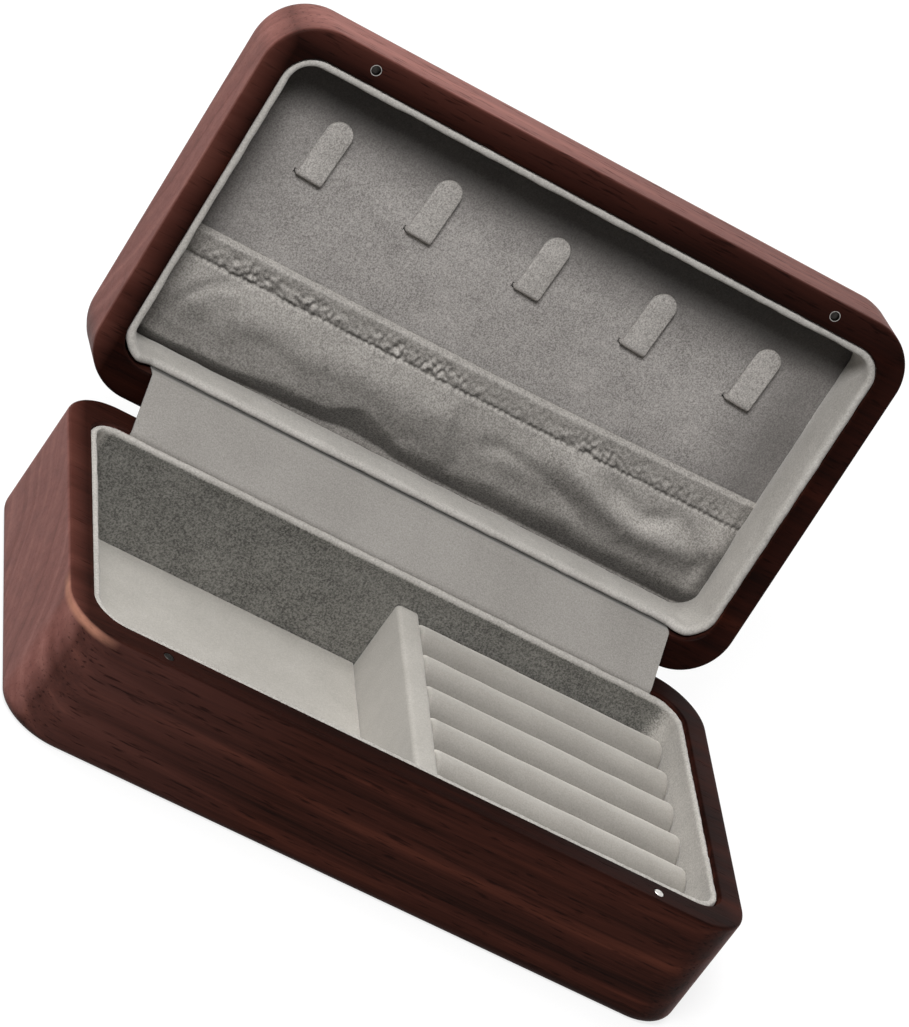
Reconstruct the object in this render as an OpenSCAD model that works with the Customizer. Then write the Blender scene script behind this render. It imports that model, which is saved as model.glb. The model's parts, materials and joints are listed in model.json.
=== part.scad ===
// Walnut ring display box with a hinged lid.
// Millimetres. The origin is the middle of the underside, +X runs along the
// box, the front is -Y, the hinges are at +Y and +Z is up. The lid is open.

/* [Case] */
// Length of the box, left to right
case_w = 200; // [190:1:230]
// Depth of the box, front to back
case_d = 114; // [108:1:130]
// Height of the base
base_h = 36; // [33:1:50]
// Height of the lid
lid_h = 28; // [26:1:40]
// Radius of the upright corners
corner_r = 15.5; // [13:0.5:20]
// Rounding of the base's lower edge
base_edge_r = 3.5; // [1:0.5:6]
// Rounding of the lid's top edge
lid_edge_r = 9; // [2:0.5:11]
// Rounding of the edges where base and lid meet
rim_edge_r = 1; // [0.4:0.1:1.5]

/* [Walls] */
// Thickness of the end walls
wall_side = 7; // [6:0.5:9]
// Thickness of the front wall
wall_front = 8.5; // [8:0.5:11]
// Thickness of the hinge wall
wall_rear = 9.5; // [9:0.5:12]
// Thickness of the base's floor
base_floor = 3.2; // [2.5:0.1:5]
// Thickness of the lid's roof
lid_roof = 6.5; // [5:0.5:8]
// Radius of the hollow's upright corners
cavity_r = 9; // [7:0.5:11]
// Space left between the two rims when the lid is shut
rim_gap = 0.3; // [0.2:0.1:0.6]

/* [Opening] */
// Angle of the lid from shut, held there by the taut cover strip
open_angle = 99; // [95:1:103]

/* [Lining] */
// Thickness of the padded velvet lining on the walls
lining_t = 1.8; // [1:0.1:2.5]
// Gap between a lining or pad and what it is glued to
glue_gap = 0.1; // [0.05:0.01:0.2]
// How far the base's lining ends below the rim
base_lining_recess = 0.3; // [0.2:0.1:3]
// How far the lid's lining ends inside the rim
lid_lining_recess = 0.6; // [0.4:0.1:5]
// How far the lid's lining ends inside the rim behind the cover strip
cover_recess = 3.5; // [2:0.1:5]
// Length over which the lining's edge slopes back to the rim beside the strip
cover_ease = 3; // [1:0.5:5]
// Thickness of the pad on the open compartment's floor
floor_pad_t = 1.8; // [1:0.1:3]

/* [Divider and ring rolls] */
// Position of the divider's middle along the box
divider_x = 10; // [-20:1:30]
// Thickness of the divider
divider_t = 7; // [4:0.5:10]
// Height of the divider above the floor
divider_h = 23.8; // [18:0.1:28]
// Rounding of the divider's top edges
divider_edge_r = 2.2; // [0.5:0.1:2.5]
// Thickness of the card under the ring rolls
roll_card_t = 1; // [0.6:0.1:2]
// Width of one ring roll, front to back
roll_w = 14.6; // [12:0.1:15]
// Gap between two ring rolls
roll_gap = 0.2; // [0.1:0.1:0.8]
// Height of a ring roll above its card
roll_h = 23; // [18:0.5:25]
// Rounding of a ring roll's two ends
roll_end_r = 3; // [1:0.5:5]

/* [Lid panel and hooks] */
// Thickness of the padded panel in the lid
panel_t = 2; // [1.5:0.1:3]
// Distance between two hook tabs along the lid
hook_pitch = 34.2; // [26:0.1:38]
// How far the row of hook tabs stands to the right of the lid's middle
hook_shift = 1.1; // [-4:0.1:4]
// Width of a hook tab
hook_w = 7.8; // [6:0.1:12]
// Length of a hook tab from its foot to its round tip
hook_len = 18.6; // [14:0.1:24]
// Thickness of a hook tab
hook_t = 1.1; // [0.8:0.1:1.5]
// Space for a chain between a hook tab and the panel
hook_gap = 1.5; // [1:0.1:2.5]
// Distance of the hook tabs' feet in front of the box's middle
hook_foot = 14; // [11:0.5:18]
// Clearance of a hook tab's foot in its slit
hook_fit = 0.15; // [0.1:0.01:0.3]

/* [Pocket] */
// Distance of the pocket's mouth behind the box's middle
pocket_mouth = 9.6; // [4:0.2:16]
// Thickness of the pocket's fabric
pocket_t = 0.8; // [0.6:0.1:1.2]
// How far the slack pocket bulges from the panel
pocket_bulge = 3; // [1.5:0.1:4]
// Number of gathers along the mouth
gathers = 22; // [12:1:26]
// Depth of the gathers
gather_h = 0.45; // [0.1:0.05:0.6]
// Width of the hem that holds the elastic
hem_w = 4.6; // [4:0.1:6]
// Thickness of the hem
hem_t = 1.9; // [1.7:0.1:2.4]
// Width of the elastic band
elastic_w = 3; // [2:0.1:3.2]
// Thickness of the elastic band
elastic_t = 0.6; // [0.4:0.1:0.8]

/* [Magnets] */
// Distance of a magnet from its end of the box
magnet_inset = 27.7; // [24:0.1:40]
// Radius of a magnet
magnet_r = 1.5; // [1:0.1:2.5]
// Length of a magnet
magnet_len = 3; // [2:0.1:5]
// How deep the lid's magnets lie in their holes
magnet_sunk = 0.6; // [0:0.1:1]
// Clearance round a magnet in its hole
magnet_fit = 0.05; // [0.02:0.01:0.1]

/* [Hinges] */
// Distance of a hinge's middle from its end of the box
hinge_inset = 45; // [40:1:55]
// Length of a hinge along the box
hinge_len = 22; // [18:1:28]
// Width of a leaf on the rim, front to back
leaf_w = 6.5; // [6:0.1:7.5]
// Thickness of a leaf
leaf_t = 0.9; // [0.7:0.1:1.2]
// Radius of the knuckles
knuckle_r = 1.45; // [1.3:0.05:1.7]
// Clearance between the knuckles and the back of the box
knuckle_fit = 0.15; // [0.1:0.05:0.3]
// Gap between neighbouring knuckles
knuckle_gap = 0.2; // [0.1:0.05:0.4]
// Radius of a hinge pin
pin_r = 0.6; // [0.5:0.05:0.8]
// Running clearance round a hinge pin
pin_fit = 0.05; // [0.02:0.01:0.1]
// Radius of a hinge screw's shank
screw_r = 0.9; // [0.7:0.05:1.1]
// Radius of a hinge screw's head
screw_head_r = 1.7; // [1.5:0.05:2]
// Length of a hinge screw
screw_len = 8; // [6:0.5:10]
// Clearance round a hinge screw
screw_fit = 0.05; // [0.02:0.01:0.1]

/* [Cover strip] */
// Distance of the suede strip's ends from the ends of the box
strip_inset = 18.3; // [17:0.1:24]
// Thickness of the strip
strip_t = 0.5; // [0.4:0.05:0.7]
// How far the strip is glued down behind each lining
strip_tuck = 9; // [6:0.5:12]
// Clearance of the strip in front of the hinge wall
strip_fit = 0.3; // [0.2:0.05:0.4]

/* [Hidden] */
$fn = 96;
// Length past a face that a cut runs, so that it leaves no skin
over = 1;
roll_count = 6;
hook_count = 5;
// Colours of the wood, the velvets, the suede, the metals and the elastic
walnut = [0.24, 0.11, 0.08];
velvet = [0.72, 0.71, 0.68];
velvet_dark = [0.42, 0.41, 0.40];
suede = [0.60, 0.58, 0.55];
brass = [0.76, 0.60, 0.32];
nickel = [0.80, 0.80, 0.82];
elastic_grey = [0.34, 0.34, 0.34];

// The hollow inside the walls, shared by base and lid
cavity_w = case_w - 2 * wall_side;
cavity_front = -case_d / 2 + wall_front;
cavity_rear = case_d / 2 - wall_rear;
// The lining stands off the hinge wall to let the strip pass behind it
lining_w = cavity_w - 2 * glue_gap;
lining_front = cavity_front + glue_gap;
lining_rear = cavity_rear - strip_fit - strip_t - glue_gap;
lining_r = cavity_r - glue_gap;
room_w = lining_w - 2 * lining_t;
room_front = lining_front + lining_t;
room_rear = lining_rear - lining_t;
room_r = lining_r - lining_t;

// The base's floor, its pads and the rolls
divider_left = divider_x - divider_t / 2;
divider_right = divider_x + divider_t / 2;
roll_left = divider_right + glue_gap;
roll_right = room_w / 2 - glue_gap;
roll_z = base_floor + glue_gap + roll_card_t;
roll_rear = room_rear - glue_gap;
// Middle of ring roll i, counted from the hinge side
function roll_y(i) = roll_rear - roll_w / 2 - (i - 1) * (roll_w + roll_gap);

// The lid, drawn shut and then turned about the hinge axis
lid_z = base_h + rim_gap;
lid_top = lid_z + lid_h;
roof_z = lid_top - lid_roof;
panel_z = roof_z - glue_gap - panel_t;
axis_y = case_d / 2 + knuckle_fit + knuckle_r;
axis_z = base_h + rim_gap / 2;
// Hook tab i sits at this place along the lid
function hook_x(i) = (i - (hook_count + 1) / 2) * hook_pitch + hook_shift;
// The pocket runs from its mouth to the hinge side of the room
pocket_rear = room_rear - glue_gap;
pocket_w = room_w - 2 * glue_gap;
pocket_steps_x = 66;
pocket_steps_y = 8;

magnet_x = case_w / 2 - magnet_inset;
magnet_y = (-case_d / 2 + cavity_front) / 2;
hinge_x = case_w / 2 - hinge_inset;
leaf_y = case_d / 2 - leaf_w;
screw_y = leaf_y + leaf_w * 0.46;
screw_x = hinge_len * 0.32;
knuckle_len = (hinge_len - 2 * knuckle_gap) / 3;
strip_w = case_w - 2 * strip_inset;
strip_y = cavity_rear - strip_fit - strip_t / 2;

// A rectangle with round corners from its front and rear edges
module round_rect(w, front, rear, r) {
    d = rear - front;
    translate([0, (front + rear) / 2]) {
        square([w - 2 * r, d], center = true);
        square([w, d - 2 * r], center = true);
        for (sx = [-1, 1], sy = [-1, 1])
            translate([sx * (w / 2 - r), sy * (d / 2 - r)]) circle(r);
    }
}

// Half of an upright section: out to reach, with its outer corners rounded
module edge_section(reach, h, low_r, high_r) {
    square([reach - max(low_r, high_r), h]);
    translate([0, low_r]) square([reach, h - low_r - high_r]);
    translate([reach - low_r, low_r]) circle(low_r);
    translate([0, 0]) square([reach - low_r, low_r]);
    translate([reach - high_r, h - high_r]) circle(high_r);
    translate([0, h - high_r]) square([reach - high_r, high_r]);
}

// A block with round upright corners and rounded lower and upper edges
module soft_block(w, d, h, r, low_r, high_r) {
    for (sx = [-1, 1], sy = [-1, 1])
        translate([sx * (w / 2 - r), sy * (d / 2 - r), 0])
            rotate_extrude() intersection() {
                edge_section(r, h, low_r, high_r);
                square([r, h]);
            }
    for (side = [0, 180]) {
        rotate([0, 0, side]) rotate([90, 0, 90])
            linear_extrude(w - 2 * r, center = true)
                edge_section(d / 2, h, low_r, high_r);
        rotate([0, 0, side]) rotate([90, 0, 0])
            linear_extrude(d - 2 * r, center = true)
                edge_section(w / 2, h, low_r, high_r);
    }
}

// Turns what is drawn in the shut lid to its open place
module opened() {
    translate([0, axis_y, axis_z]) rotate([-open_angle, 0, 0])
        translate([0, -axis_y, -axis_z]) children();
}

// Places a child at the left hinge (-1) or the right hinge (1)
module at_hinge(side) {
    translate([side * hinge_x, 0, 0]) children();
}

// Cuts in the base for one hinge: the leaf's mortise and the screw holes
module hinge_cuts() {
    translate([-hinge_len / 2 - glue_gap, leaf_y - glue_gap, base_h - leaf_t - glue_gap])
        cube([hinge_len + 2 * glue_gap, leaf_w + glue_gap + over, leaf_t + over]);
    for (sx = [-1, 1])
        translate([sx * screw_x, screw_y, base_h - screw_len - screw_fit])
            cylinder(r = screw_r + screw_fit, h = screw_len);
}

// Turns the base's half of a hinge into the lid's half
module lid_half() {
    translate([0, 0, 2 * axis_z]) mirror([0, 0, 1]) children();
}

module base_case() {
    color(walnut) difference() {
        soft_block(case_w, case_d, base_h, corner_r, base_edge_r, rim_edge_r);
        translate([0, 0, base_floor]) linear_extrude(base_h)
            round_rect(cavity_w, cavity_front, cavity_rear, cavity_r);
        for (side = [-1, 1]) {
            at_hinge(side) hinge_cuts();
            translate([side * magnet_x, magnet_y, base_h - magnet_len - magnet_fit])
                cylinder(r = magnet_r + magnet_fit, h = magnet_len + over);
        }
    }
}

module lid_case() {
    hole_len = magnet_len + magnet_sunk + magnet_fit;
    color(walnut) opened() difference() {
        translate([0, 0, lid_z])
            soft_block(case_w, case_d, lid_h, corner_r, rim_edge_r, lid_edge_r);
        translate([0, 0, lid_z - over]) linear_extrude(roof_z - lid_z + over)
            round_rect(cavity_w, cavity_front, cavity_rear, cavity_r);
        for (side = [-1, 1]) {
            at_hinge(side) lid_half() hinge_cuts();
            translate([side * magnet_x, magnet_y, lid_z - over])
                cylinder(r = magnet_r + magnet_fit, h = hole_len + over);
        }
    }
}

// Section through the wall lining, with a round upper edge
module lining_section(h) {
    square([lining_t, h - lining_t / 2]);
    translate([lining_t / 2, h - lining_t / 2]) circle(lining_t / 2);
}

// Wall lining: the section carried round the hollow, four runs and four bends
module lining_band(h) {
    run_x = lining_w - 2 * lining_r;
    run_y = lining_rear - lining_front - 2 * lining_r;
    translate([0, (lining_front + lining_rear) / 2, 0]) for (turn = [0, 180]) rotate([0, 0, turn]) {
        translate([-run_x / 2, -run_y / 2 - room_r, 0]) rotate([90, 0, 90])
            linear_extrude(run_x) mirror([1, 0]) lining_section(h);
        translate([run_x / 2 + room_r, run_y / 2, 0]) rotate([90, 0, 0])
            linear_extrude(run_y) lining_section(h);
        translate([run_x / 2, -run_y / 2, 0]) rotate([0, 0, -90])
            rotate_extrude(angle = 90) translate([room_r, 0]) lining_section(h);
        translate([run_x / 2, run_y / 2, 0])
            rotate_extrude(angle = 90) translate([room_r, 0]) lining_section(h);
    }
}

module base_lining() {
    color(velvet_dark) translate([0, 0, base_floor + glue_gap])
        lining_band(base_h - base_lining_recess - base_floor - glue_gap);
}

module lid_lining() {
    low = lid_z + lid_lining_recess;
    half = strip_w / 2 + strip_fit;
    color(velvet) opened() difference() {
        translate([0, 0, panel_z - glue_gap]) mirror([0, 0, 1])
            lining_band(panel_z - glue_gap - low);
        translate([0, room_rear - glue_gap, 0]) rotate([90, 0, 180]) linear_extrude(case_d)
            polygon([[-half - cover_ease, lid_z - rim_gap], [half + cover_ease, lid_z - rim_gap],
                [half + cover_ease, lid_z], [half, lid_z + cover_recess],
                [-half, lid_z + cover_recess], [-half - cover_ease, lid_z]]);
    }
}

// Pad between the left end and the divider, with the room's round corners
module floor_pad() {
    color(velvet) translate([0, 0, base_floor + glue_gap]) linear_extrude(floor_pad_t)
        intersection() {
            round_rect(room_w - 2 * glue_gap, room_front + glue_gap,
                room_rear - glue_gap, room_r - glue_gap);
            translate([-case_w, -case_d]) square([case_w + divider_left - glue_gap, 2 * case_d]);
        }
}

module divider() {
    front = room_front + glue_gap;
    span = room_rear - glue_gap - front;
    color(velvet) translate([divider_x, front, base_floor + glue_gap])
        rotate([90, 0, 180]) linear_extrude(span) {
            translate([-divider_t / 2, 0]) square([divider_t, divider_h - divider_edge_r]);
            translate([-divider_t / 2 + divider_edge_r, 0])
                square([divider_t - 2 * divider_edge_r, divider_h]);
            for (side = [-1, 1])
                translate([side * (divider_t / 2 - divider_edge_r), divider_h - divider_edge_r])
                    circle(divider_edge_r);
        }
}

// Card that carries the ring rolls, cut to the right compartment
module roll_card() {
    color(velvet_dark) translate([0, 0, base_floor + glue_gap]) linear_extrude(roll_card_t)
        intersection() {
            round_rect(room_w - 2 * glue_gap, room_front + glue_gap,
                room_rear - glue_gap, room_r - glue_gap);
            translate([roll_left, -case_d]) square([case_w, 2 * case_d]);
        }
}

// One foam roll: a bar with a half-round top and rounded ends, cut where the
// compartment's corners are round
module ring_roll(i) {
    len = roll_right - roll_left;
    r = roll_w / 2;
    color(velvet) intersection() {
        translate([roll_left, roll_y(i), roll_z]) rotate([90, 0, 90]) linear_extrude(len) {
            translate([-r, 0]) square([roll_w, roll_h - r]);
            translate([0, roll_h - r]) circle(r);
        }
        translate([roll_left, roll_y(i) + roll_w, roll_z]) rotate([90, 0, 0])
            linear_extrude(2 * roll_w) {
                square([len, roll_h - roll_end_r]);
                translate([roll_end_r, 0]) square([len - 2 * roll_end_r, roll_h]);
                for (x = [roll_end_r, len - roll_end_r])
                    translate([x, roll_h - roll_end_r]) circle(roll_end_r);
            }
        translate([0, 0, base_floor]) linear_extrude(base_h)
            round_rect(room_w - 2 * glue_gap, room_front + glue_gap,
                room_rear - glue_gap, room_r - glue_gap);
    }
}

// Padded board against the lid's roof, with a slit for each hook tab
module lid_panel() {
    color(velvet_dark) opened() difference() {
        translate([0, 0, panel_z]) linear_extrude(panel_t)
            round_rect(lining_w, lining_front, cavity_rear - glue_gap, lining_r);
        for (i = [1:hook_count])
            translate([hook_x(i) - hook_w / 2 - hook_fit, -hook_foot - hook_t - hook_fit, panel_z - over])
                cube([hook_w + 2 * hook_fit, hook_t + 2 * hook_fit, panel_t + 2 * over]);
    }
}

// Stiff velvet tab, seen from the end: bent round at the foot into its slit
module hook_section() {
    translate([-hook_len, -hook_gap - hook_t]) square([hook_len - hook_t, hook_t]);
    translate([-hook_t, -hook_gap]) square([hook_t, hook_gap + panel_t]);
    intersection() {
        translate([-hook_t, -hook_gap]) circle(hook_t);
        translate([-hook_t, -hook_gap - hook_t]) square(hook_t);
    }
}

// The tab's outline from the front has a round tip
module hook_tab(i) {
    color(velvet) opened() translate([hook_x(i), -hook_foot, panel_z]) intersection() {
        rotate([90, 0, 90]) linear_extrude(hook_w, center = true) hook_section();
        translate([0, 0, -2 * hook_gap - 2 * hook_t]) linear_extrude(2 * hook_gap + 3 * hook_t + panel_t) {
            translate([-hook_w / 2, -hook_len + hook_w / 2]) square([hook_w, hook_len]);
            translate([0, -hook_len + hook_w / 2]) circle(hook_w / 2);
        }
    }
}

// Height of the pocket's outer face above the panel, at a share u along the
// pocket and v from its hem to the hinge side
function pocket_h(u, v) = hem_t
    + (pocket_bulge - hem_t) * sin(180 * v) ^ 0.6
    - (hem_t - pocket_t - 2 * glue_gap) * v ^ 6
    + gather_h * sin(360 * gathers * u) * (1 - v) ^ 2
    + gather_h * sin(360 * (5 * u + 1.3 * v)) * sin(180 * v)
    + gather_h * 0.6 * sin(360 * (9 * u - 2 * v)) * sin(180 * v);

// Half the pocket's width at y: it follows the lining's round corners
function pocket_half(y) = let (r = room_r - glue_gap, dy = max(0, y - room_rear + room_r))
    room_w / 2 - room_r + sqrt(max(0, r * r - dy * dy));

// Fabric of the pocket: one closed sheet between two rippled faces
module pocket() {
    front = pocket_mouth + hem_w + glue_gap;
    nx = pocket_steps_x;
    ny = pocket_steps_y;
    row = ny + 1;
    side = (nx + 1) * row;
    span = pocket_rear - front;
    function at(i, j, lift) = let (y = front + j / ny * span) [
        (2 * i / nx - 1) * pocket_half(y),
        y,
        panel_z - max(glue_gap, pocket_h(i / nx, j / ny) - lift)];
    points = [for (lift = [0, pocket_t], i = [0:nx], j = [0:ny]) at(i, j, lift)];
    outer = [for (i = [0:nx - 1], j = [0:ny - 1]) let (k = i * row + j)
        each [[k, k + 1, k + row], [k + row, k + 1, k + row + 1]]];
    inner = [for (f = outer) [f[0] + side, f[2] + side, f[1] + side]];
    ends = [for (i = [0, nx], j = [0:ny - 1]) let (k = i * row + j)
        each i == 0 ? [[k, k + side, k + 1], [k + 1, k + side, k + side + 1]]
            : [[k, k + 1, k + side], [k + 1, k + side + 1, k + side]]];
    hems = [for (j = [0, ny], i = [0:nx - 1]) let (k = i * row + j, n = k + row)
        each j == 0 ? [[k, n, k + side], [n, n + side, k + side]]
            : [[k, k + side, n], [n, k + side, n + side]]];
    color(velvet_dark) opened() polyhedron(points, concat(outer, inner, ends, hems));
}

// Hem along the pocket's mouth, a flat tube for the elastic
module pocket_hem() {
    r = hem_t / 2;
    color(velvet_dark) opened()
        translate([0, pocket_mouth + hem_w / 2, panel_z - glue_gap - r])
            rotate([90, 0, 90]) linear_extrude(pocket_w, center = true) difference() {
                union() {
                    square([hem_w - hem_t, hem_t], center = true);
                    for (side = [-1, 1]) translate([side * (hem_w / 2 - r), 0]) circle(r);
                }
                square([elastic_w + 2 * glue_gap, elastic_t + 2 * glue_gap], center = true);
            }
}

module pocket_elastic() {
    color(elastic_grey) opened()
        translate([0, pocket_mouth + hem_w / 2, panel_z - glue_gap - hem_t / 2])
            cube([pocket_w, elastic_w, elastic_t], center = true);
}

module base_magnet(side) {
    color(nickel) translate([side * magnet_x, magnet_y, base_h - magnet_len])
        cylinder(r = magnet_r, h = magnet_len);
}

module lid_magnet(side) {
    color(nickel) opened() translate([side * magnet_x, magnet_y, lid_z + magnet_sunk])
        cylinder(r = magnet_r, h = magnet_len);
}

// A knuckle from x = from to x = to, joined to the leaf by a short tongue
module knuckle(from, to) {
    translate([from, axis_y, axis_z]) rotate([0, 90, 0]) cylinder(r = knuckle_r, h = to - from);
    translate([from, leaf_y, base_h - leaf_t]) cube([to - from, axis_y - leaf_y, leaf_t]);
}

// A leaf let into the rim with its countersunk holes and given knuckles
module leaf(knuckles) {
    difference() {
        union() {
            translate([-hinge_len / 2, leaf_y, base_h - leaf_t])
                cube([hinge_len, leaf_w - rim_edge_r / 2, leaf_t]);
            for (k = knuckles) knuckle(k[0], k[1]);
        }
        translate([-hinge_len, axis_y, axis_z]) rotate([0, 90, 0])
            cylinder(r = pin_r + pin_fit, h = 2 * hinge_len);
        for (sx = [-1, 1]) translate([sx * screw_x, screw_y, base_h]) {
            translate([0, 0, -leaf_t - over])
                cylinder(r = screw_r + screw_fit, h = leaf_t + 2 * over);
            translate([0, 0, -leaf_t])
                cylinder(r1 = screw_r + screw_fit, r2 = screw_head_r + screw_fit, h = leaf_t);
            cylinder(r = screw_head_r + screw_fit, h = over);
        }
    }
}

// The base leaf has the two outer knuckles
module base_leaf(side) {
    inner = knuckle_len / 2 + knuckle_gap;
    color(brass) at_hinge(side) leaf([[-hinge_len / 2, -inner], [inner, hinge_len / 2]]);
}

// The lid leaf has the middle knuckle
module lid_leaf(side) {
    color(brass) opened() at_hinge(side) lid_half() leaf([[-knuckle_len / 2, knuckle_len / 2]]);
}

module hinge_pin(side) {
    color(brass) at_hinge(side) translate([-hinge_len / 2, axis_y, axis_z])
        rotate([0, 90, 0]) cylinder(r = pin_r, h = hinge_len);
}

// Four countersunk wood screws, two in each hinge's leaf
module hinge_screws() {
    for (side = [-1, 1], sx = [-1, 1])
        at_hinge(side) translate([sx * screw_x, screw_y, base_h]) {
            translate([0, 0, -screw_len]) cylinder(r = screw_r, h = screw_len - leaf_t / 2);
            translate([0, 0, -leaf_t]) cylinder(r1 = screw_r, r2 = screw_head_r, h = leaf_t);
        }
}

module hinge_base_screws() {
    color(brass) hinge_screws();
}

module hinge_lid_screws() {
    color(brass) opened() lid_half() hinge_screws();
}

// A point of the shut lid, [y, z], in its open place
function open_point(p) = let (dy = p[0] - axis_y, dz = p[1] - axis_z) [
    axis_y + dy * cos(open_angle) + dz * sin(open_angle),
    axis_z - dy * sin(open_angle) + dz * cos(open_angle)];

// Suede strip glued inside both hinge walls and taut between the rims
module hinge_cover() {
    half = strip_t / 2;
    bend = rim_gap;
    function face(s) = [
        [strip_y + s * half, base_h - strip_tuck],
        [strip_y + s * half, base_h + bend - s * half],
        open_point([strip_y + s * half, lid_z - bend + s * half]),
        open_point([strip_y + s * half, lid_z + strip_tuck])];
    front = face(-1);
    back = face(1);
    color(suede) rotate([90, 0, 90]) linear_extrude(strip_w, center = true)
        polygon(concat(front, [for (i = [3:-1:0]) back[i]]));
}

base_case();
base_lining();
floor_pad();
divider();
roll_card();
for (i = [1:roll_count]) ring_roll(i);
base_magnet(-1);  // base_magnet_left
base_magnet(1);  // base_magnet_right
lid_case();
lid_lining();
lid_panel();
for (i = [1:hook_count]) hook_tab(i);
pocket();
pocket_hem();
pocket_elastic();
lid_magnet(-1);  // lid_magnet_left
lid_magnet(1);  // lid_magnet_right
base_leaf(-1);  // hinge_left_base_leaf
lid_leaf(-1);  // hinge_left_lid_leaf
hinge_pin(-1);  // hinge_left_pin
base_leaf(1);  // hinge_right_base_leaf
lid_leaf(1);  // hinge_right_lid_leaf
hinge_pin(1);  // hinge_right_pin
hinge_base_screws();
hinge_lid_screws();
hinge_cover();
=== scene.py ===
import json
import math

import bmesh
import bpy
from mathutils import Matrix, Vector, noise


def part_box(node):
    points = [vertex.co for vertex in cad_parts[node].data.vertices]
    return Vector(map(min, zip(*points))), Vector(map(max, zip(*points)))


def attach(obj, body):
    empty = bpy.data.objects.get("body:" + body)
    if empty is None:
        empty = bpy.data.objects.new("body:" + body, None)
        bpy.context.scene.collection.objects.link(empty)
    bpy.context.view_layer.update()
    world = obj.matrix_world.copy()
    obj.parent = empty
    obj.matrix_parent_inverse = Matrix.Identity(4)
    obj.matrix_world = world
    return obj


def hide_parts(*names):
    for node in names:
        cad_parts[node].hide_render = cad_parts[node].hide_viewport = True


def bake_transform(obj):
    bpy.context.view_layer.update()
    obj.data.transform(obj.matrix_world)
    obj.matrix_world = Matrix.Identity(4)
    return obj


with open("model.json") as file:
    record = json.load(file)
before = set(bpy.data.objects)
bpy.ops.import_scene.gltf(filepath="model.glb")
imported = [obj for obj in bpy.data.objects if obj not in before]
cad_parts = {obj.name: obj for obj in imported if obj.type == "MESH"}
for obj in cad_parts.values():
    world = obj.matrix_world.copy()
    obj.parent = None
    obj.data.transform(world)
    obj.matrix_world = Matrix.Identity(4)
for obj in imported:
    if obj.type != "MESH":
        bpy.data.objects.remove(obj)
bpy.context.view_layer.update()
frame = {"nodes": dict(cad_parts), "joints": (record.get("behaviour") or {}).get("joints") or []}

# Camera. A long lens looks down on the open box from its front left and is
# turned on its own axis, so that the box lies on the slant in the picture.
def add_object(name, data):
    """An object in the scene that carries the given mesh, lamp or camera."""
    made = bpy.data.objects.new(name, data)
    bpy.context.scene.collection.objects.link(made)
    return made


photo_height = 1027
focal_pixels = 4959
camera_azimuth, camera_elevation, camera_roll = (math.radians(a) for a in (-21.48, 24.24, 35.92))
camera_distance = 1.2874
camera_aim = Vector((-0.0031, 0.0250, 0.0679))
camera_back = Vector((math.sin(camera_azimuth) * math.cos(camera_elevation),
                      -math.cos(camera_azimuth) * math.cos(camera_elevation),
                      math.sin(camera_elevation)))
camera = add_object("camera", bpy.data.cameras.new("camera"))
camera.data.lens = focal_pixels / photo_height * camera.data.sensor_width
aimed = (-camera_back).to_track_quat("-Z", "Y").to_matrix().to_4x4()
camera.matrix_world = (Matrix.Translation(camera_aim + camera_back * camera_distance) @ aimed
                       @ Matrix.Rotation(camera_roll, 4, "Z"))
bpy.context.scene.camera = camera
bpy.context.scene.view_settings.view_transform = "Standard"


# Floor and light. The floor looks white but throws back little light. A soft
# lamp shines from beside the camera and a wider one from above, a weak one lights
# the back and is not mirrored, and faint light comes from all round.
class Socket:
    """A node's output. Sums written with it become Math or Vector Math nodes."""

    def __init__(self, tree, link=None):
        self.tree = tree
        self.link = link

    def node(self, kind, settings=None, inputs=None, out=0):
        """Adds a node with its settings and the values or links of its sockets."""
        made = self.tree.nodes.new(kind)
        for name, value in (settings or {}).items():
            if name == "stops":
                for spare in list(made.color_ramp.elements)[1:]:
                    made.color_ramp.elements.remove(spare)
                for count, (place, colour) in enumerate(value):
                    made_stops = made.color_ramp.elements
                    stop = made_stops.new(place) if count else made_stops[0]
                    stop.position, stop.color = place, (*colour, 1)
            else:
                setattr(made, name, value)
        for name, value in (inputs or {}).items():
            socket = made.inputs[name]
            if isinstance(value, Socket):
                self.tree.links.new(value.link, socket)
            elif socket.type == "RGBA":
                socket.default_value = (*value[:3], 1)
            elif socket.type == "VECTOR" and not hasattr(value, "__len__"):
                socket.default_value = (value,) * 3
            else:
                socket.default_value = value
        return Socket(self.tree, made.outputs[out] if len(made.outputs) else None)

    def maths(self, operation, first, second):
        kind = "ShaderNodeVectorMath" if self.link.type == "VECTOR" else "ShaderNodeMath"
        return self.node(kind, {"operation": operation}, {0: first, 1: second})

    def __add__(self, other):
        return self.maths("ADD", self, other)

    def __radd__(self, other):
        return self.maths("ADD", other, self)

    def __sub__(self, other):
        return self.maths("SUBTRACT", self, other)

    def __rsub__(self, other):
        return self.maths("SUBTRACT", other, self)

    def __mul__(self, other):
        return self.maths("MULTIPLY", self, other)

    def __rmul__(self, other):
        return self.maths("MULTIPLY", other, self)

    def __truediv__(self, other):
        return self.maths("DIVIDE", self, other)

    def __pow__(self, other):
        return self.maths("POWER", self, other)

    def __abs__(self):
        return self.maths("ABSOLUTE", self, 0)


def larger(first, second):
    """The larger of two values."""
    return first.maths("MAXIMUM", first, second)


def display(*colour):
    """A colour given in display values from 0 to 255, as the light that it stands for."""
    return tuple((c / 255 / 12.92 if c < 10.3 else ((c / 255 + 0.055) / 1.055) ** 2.4) for c in colour)


def new_material(name):
    """An empty material and the start of its nodes."""
    material = bpy.data.materials.new(name)
    material.use_nodes = True
    material.node_tree.nodes.clear()
    return material, Socket(material.node_tree)


def seen_directly(start):
    """1 for the rays that the camera sees, straight or in a gloss, and 0 for light."""
    camera_ray, glossy_ray, clear_ray = (start.node("ShaderNodeLightPath", out=f"Is {kind} Ray")
                                         for kind in ("Camera", "Glossy", "Transmission"))
    return larger(larger(camera_ray, glossy_ray), clear_ray)


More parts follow.
